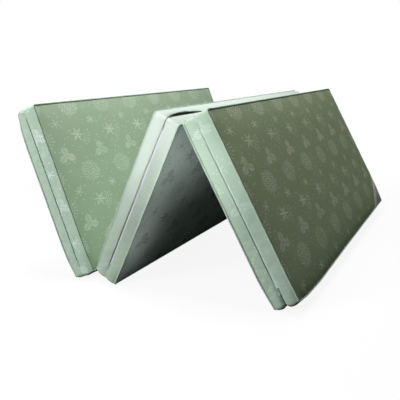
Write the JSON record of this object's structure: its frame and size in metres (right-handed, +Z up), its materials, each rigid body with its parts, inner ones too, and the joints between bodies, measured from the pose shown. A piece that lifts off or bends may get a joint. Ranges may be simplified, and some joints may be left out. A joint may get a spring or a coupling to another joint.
{
  "type": "folding mattress",
  "caption": "Tri-fold foam mattress in a woven patterned cover, standing in a zigzag, with cloth hinges between its panels and a zip in each panel's side.",
  "frame": {"origin": "on the floor under the middle of the whole, standing in its zigzag", "axes": "+Y along the hinges, away from the zips; +X from the left panel to the right one; +Z up"},
  "size_m": [1.0398, 1.37, 0.6233],
  "materials": {
    "foam": "open-cell polyurethane foam, matt",
    "face_cloth": "dark green woven jacquard with a slight sheen",
    "boxing_cloth": "pale mint woven polyester, satin",
    "welt_cloth": "bias-cut cloth over cord, satin",
    "hinge_cloth": "woven polyester, matt",
    "zip_tape": "herringbone-woven tape, matt",
    "zip_coil": "translucent nylon coil, satin",
    "zip_metal": "plated zinc, satin"
  },
  "bodies": {
    "middle_panel": {"middle_foam_core": "foam", "middle_upper_face_cloth": "face_cloth", "middle_lower_face_cloth": "face_cloth", "middle_upper_boxing_band": "boxing_cloth", "middle_lower_boxing_band": "boxing_cloth", "middle_upper_welt": "welt_cloth", "middle_lower_welt": "welt_cloth", "middle_zip_upper_tape": "zip_tape", "middle_zip_lower_tape": "zip_tape", "middle_zip_coil": "zip_coil", "middle_zip_foot_stop": "zip_metal", "middle_zip_top_stop": "zip_metal", "left_hinge_middle_leaf": "hinge_cloth", "right_hinge_middle_leaf": "hinge_cloth"},
    "left_panel": {"left_foam_core": "foam", "left_upper_face_cloth": "face_cloth", "left_lower_face_cloth": "face_cloth", "left_upper_boxing_band": "boxing_cloth", "left_lower_boxing_band": "boxing_cloth", "left_upper_welt": "welt_cloth", "left_lower_welt": "welt_cloth", "left_zip_upper_tape": "zip_tape", "left_zip_lower_tape": "zip_tape", "left_zip_coil": "zip_coil", "left_zip_foot_stop": "zip_metal", "left_zip_top_stop": "zip_metal", "left_hinge_left_leaf": "hinge_cloth"},
    "right_panel": {"right_foam_core": "foam", "right_upper_face_cloth": "face_cloth", "right_lower_face_cloth": "face_cloth", "right_upper_boxing_band": "boxing_cloth", "right_lower_boxing_band": "boxing_cloth", "right_upper_welt": "welt_cloth", "right_lower_welt": "welt_cloth", "right_zip_upper_tape": "zip_tape", "right_zip_lower_tape": "zip_tape", "right_zip_coil": "zip_coil", "right_zip_foot_stop": "zip_metal", "right_zip_top_stop": "zip_metal", "right_hinge_right_leaf": "hinge_cloth"},
    "left_slider": {"left_zip_slider": "zip_metal"},
    "middle_slider": {"middle_zip_slider": "zip_metal"},
    "right_slider": {"right_zip_slider": "zip_metal"},
    "left_pull": {"left_zip_pull": "zip_metal"},
    "middle_pull": {"middle_zip_pull": "zip_metal"},
    "right_pull": {"right_zip_pull": "zip_metal"}
  },
  "joints": [
    {"name": "left_fold", "type": "hinge", "parent": "middle_panel", "child": "left_panel", "pos_m": [-0.23173, 0, 0.034], "axis": [0, 1, 0], "range_deg": [-133.9, 41.5]},
    {"name": "right_fold", "type": "hinge", "parent": "middle_panel", "child": "right_panel", "pos_m": [0.15394, 0, 0.56265], "axis": [0, 1, 0], "range_deg": [-126, 49.5]},
    {"name": "left_zip_run", "type": "slide", "parent": "left_panel", "child": "left_slider", "axis": [-0.3178, 0, 0.9482], "range_m": [0, 0.521]},
    {"name": "middle_zip_run", "type": "slide", "parent": "middle_panel", "child": "middle_slider", "axis": [0.4618, 0, 0.887], "range_m": [0, 0.521]},
    {"name": "right_zip_run", "type": "slide", "parent": "right_panel", "child": "right_slider", "axis": [-0.4453, 0, 0.8954], "range_m": [0, 0.521]},
    {"name": "left_pull_swing", "type": "hinge", "parent": "left_slider", "child": "left_pull", "pos_m": [-0.29513, -0.68348, 0.06897], "axis": [-0.9482, 0, -0.3178], "range_deg": [0, 175]},
    {"name": "middle_pull_swing", "type": "hinge", "parent": "middle_slider", "child": "middle_pull", "pos_m": [-0.15673, -0.68348, 0.07196], "axis": [-0.887, 0, 0.4618], "range_deg": [0, 175]},
    {"name": "right_pull_swing", "type": "hinge", "parent": "right_slider", "child": "right_pull", "pos_m": [0.45287, -0.68348, 0.0717], "axis": [-0.8954, 0, -0.4453], "range_deg": [0, 175]}
  ]
}
